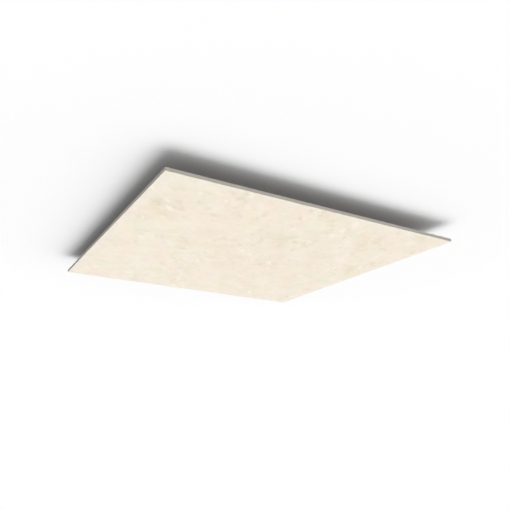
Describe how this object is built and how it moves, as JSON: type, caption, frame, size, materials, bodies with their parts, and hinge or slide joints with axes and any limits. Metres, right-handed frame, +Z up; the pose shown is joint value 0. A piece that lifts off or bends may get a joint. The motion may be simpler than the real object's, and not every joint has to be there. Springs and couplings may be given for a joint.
{
  "type": "suspended ceiling tile",
  "caption": "Flat square ceiling tile of cream mineral board with plain square edges, hung level below a ceiling with its finished face down.",
  "frame": {"origin": "centre of the finished face that looks down, which is the lowest plane of the tile", "axes": "+Z up, from the finished face to the back; +X and +Y along the two sides of the square"},
  "size_m": [1.2, 1.2, 0.012],
  "materials": {
    "board": "matt cream coating with faint cloudy mottling and a few fine pits, same colour on the edges"
  },
  "bodies": {
    "root": {"ceiling_tile": "board"}
  },
  "joints": []
}
